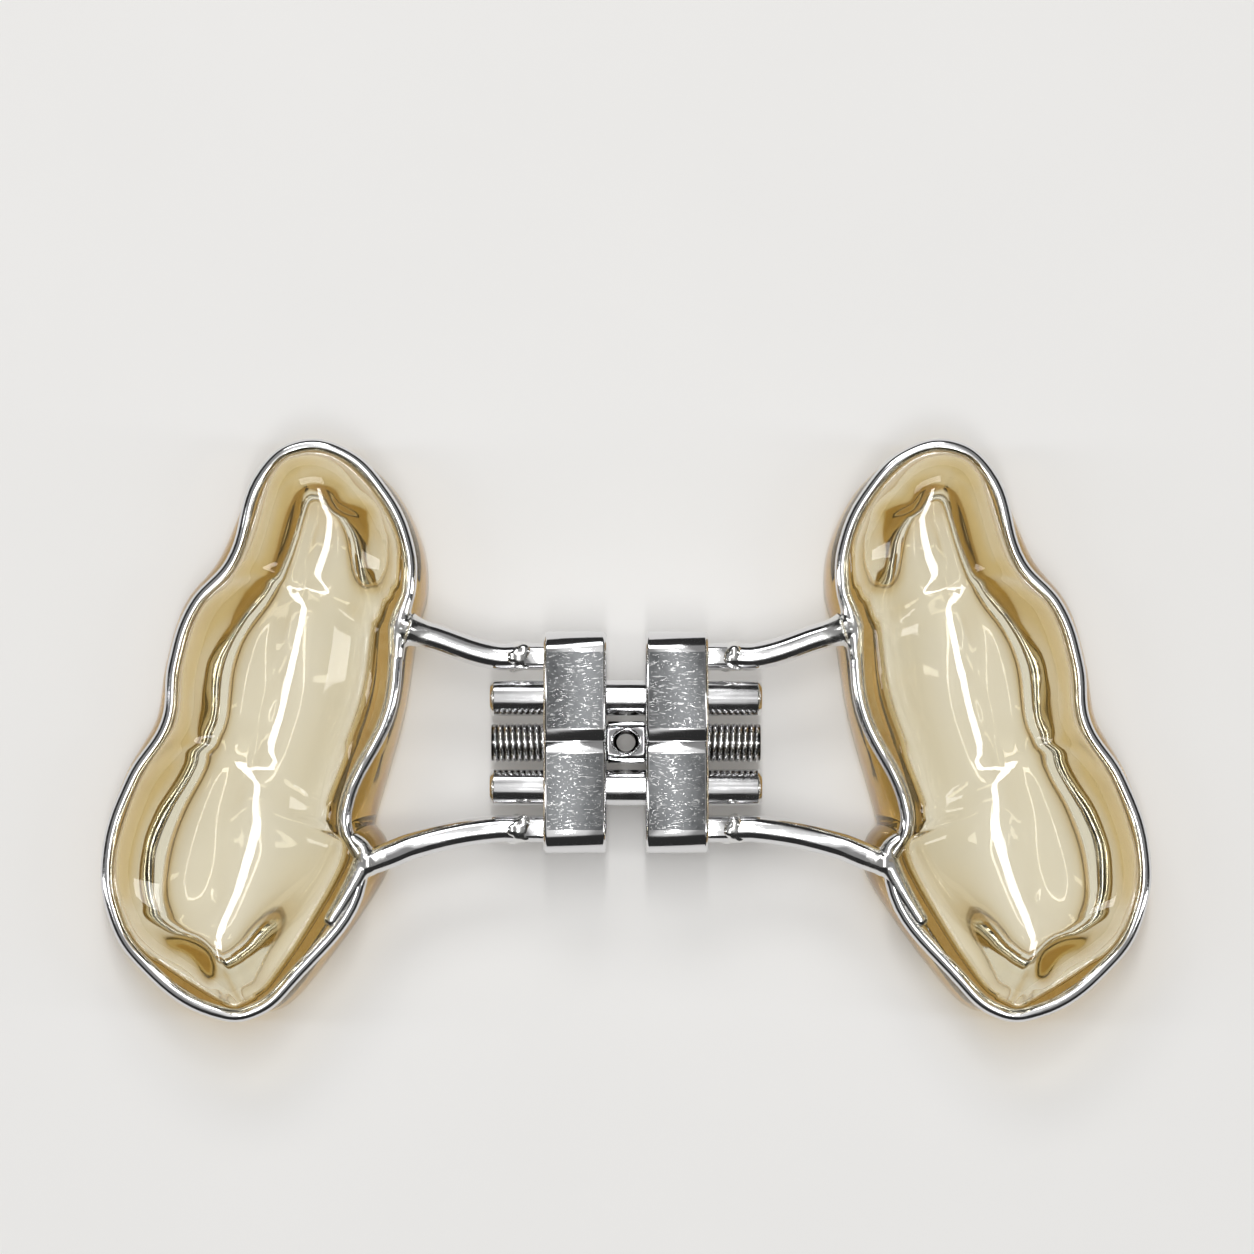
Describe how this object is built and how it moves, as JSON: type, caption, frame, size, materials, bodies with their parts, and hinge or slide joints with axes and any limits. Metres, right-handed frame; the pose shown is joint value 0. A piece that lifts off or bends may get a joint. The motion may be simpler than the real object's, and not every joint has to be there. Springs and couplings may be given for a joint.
{
  "type": "palatal expander",
  "caption": "Bonded palatal expander: clear resin tooth splints with wire frames, joined by a jackscrew with guide rods that pushes the two halves apart.",
  "frame": {"origin": "on the surface that the splints rest on, under the middle of the part's box", "axes": "+X across the mouth to the right, +Y towards the front teeth, +Z away from the gums"},
  "size_m": [0.0612, 0.0338, 0.0085],
  "materials": {
    "satin_steel": "satin, finely scratched",
    "bright_wire": "polished",
    "screw_steel": "polished",
    "solder": "bright, slightly lumpy",
    "clear_resin": "clear amber gloss"
  },
  "bodies": {
    "guide_rods": {"front_guide_rod": "screw_steel", "rear_guide_rod": "screw_steel"},
    "spindle": {"spindle": "screw_steel"},
    "left_half": {"left_body": "satin_steel", "left_wire_frame": "bright_wire", "left_front_stub": "bright_wire", "left_front_arm": "bright_wire", "left_front_solder": "solder", "left_rear_stub": "bright_wire", "left_rear_arm": "bright_wire", "left_rear_solder": "solder", "left_splint": "clear_resin"},
    "right_half": {"right_body": "satin_steel", "right_wire_frame": "bright_wire", "right_front_stub": "bright_wire", "right_front_arm": "bright_wire", "right_front_solder": "solder", "right_rear_stub": "bright_wire", "right_rear_arm": "bright_wire", "right_rear_solder": "solder", "right_splint": "clear_resin"}
  },
  "joints": [
    {"name": "spindle_turn", "type": "hinge", "parent": "guide_rods", "child": "spindle", "pos_m": [0, -0.00073, 0.004], "axis": [1, 0, 0], "range_deg": [0, 3060.5]},
    {"name": "left_slide", "type": "slide", "parent": "guide_rods", "child": "left_half", "axis": [-1, 0, 0], "range_m": [0, 0.00298]},
    {"name": "right_slide", "type": "slide", "parent": "guide_rods", "child": "right_half", "axis": [1, 0, 0], "range_m": [0, 0.00298]}
  ],
  "couplings": [
    {"joint": "left_slide", "follows": "right_slide", "ratio": 1},
    {"joint": "spindle_turn", "follows": "right_slide", "rad_per_m": 17952}
  ]
}
